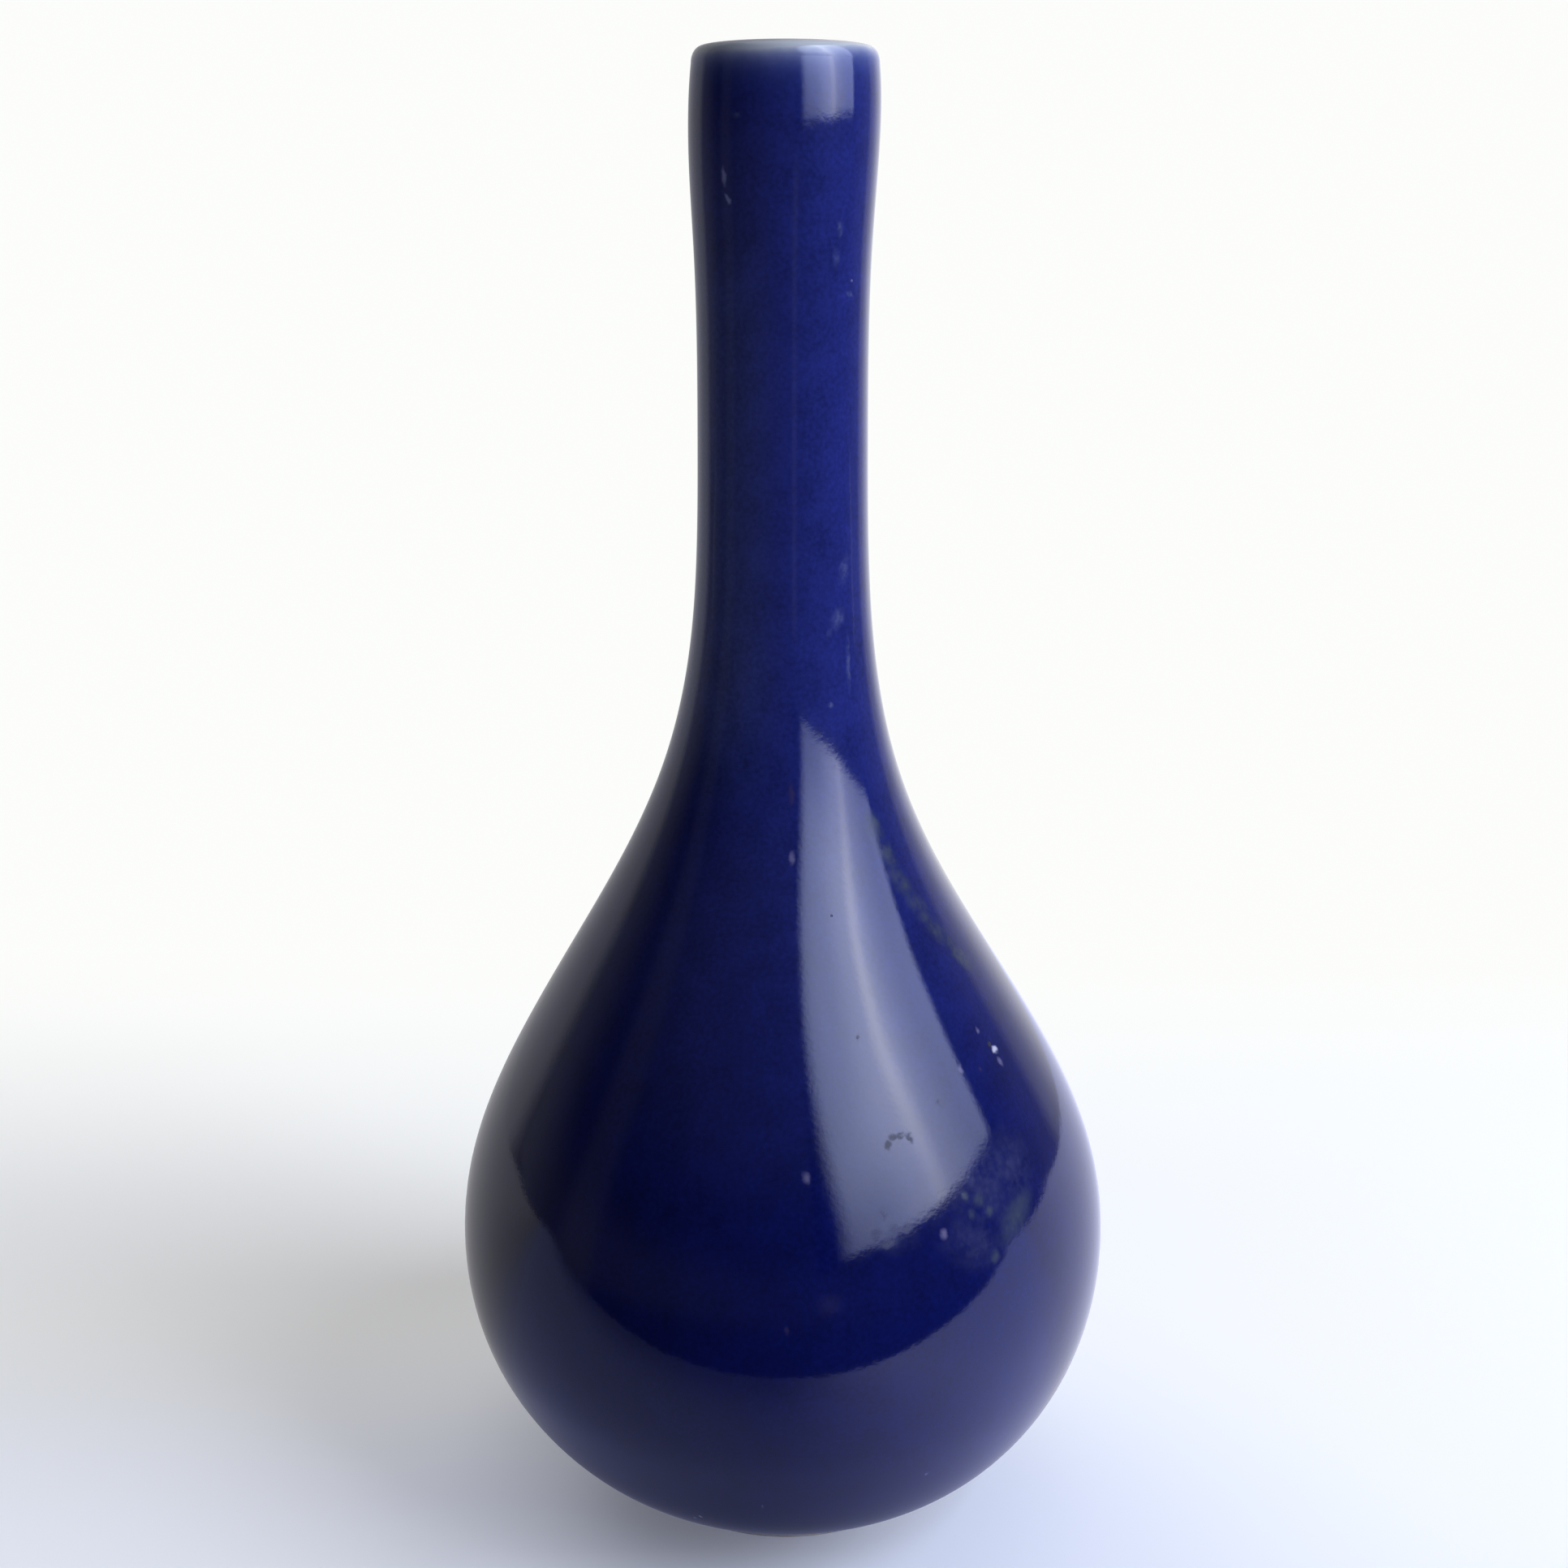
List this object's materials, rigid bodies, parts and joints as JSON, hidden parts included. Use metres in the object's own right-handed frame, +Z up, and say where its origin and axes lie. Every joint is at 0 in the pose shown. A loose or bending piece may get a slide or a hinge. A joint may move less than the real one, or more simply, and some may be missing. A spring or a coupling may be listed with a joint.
{
  "type": "spill vase",
  "caption": "Stick-neck bottle vase in porcelain with a tall narrow flared neck, sloping shoulder, round belly and low foot ring, under a glossy cobalt glaze with a pale lip.",
  "frame": {"origin": "centre of the foot ring's resting face, on the surface that the vase stands on", "axes": "+Z up along the axis the vase was turned about; +X and +Y are level and interchangeable, because every piece is turned"},
  "size_m": [0.0836, 0.0836, 0.1793],
  "materials": {
    "porcelain": "bare fired porcelain, matt, with fine turning marks",
    "cobalt_glaze": "glossy deep cobalt glaze, slightly uneven",
    "rim_glaze": "glossy pale bluish glaze, where the blue runs thin",
    "clear_glaze": "glossy clear glaze over white porcelain"
  },
  "bodies": {
    "root": {"foot_ring": "porcelain", "lower_body": "porcelain", "belly_slip": "porcelain", "upper_body": "porcelain", "neck_slip": "porcelain", "neck": "porcelain", "cobalt_glaze": "cobalt_glaze", "rim_glaze": "rim_glaze", "lining_glaze": "clear_glaze", "base_glaze": "clear_glaze"}
  },
  "joints": []
}
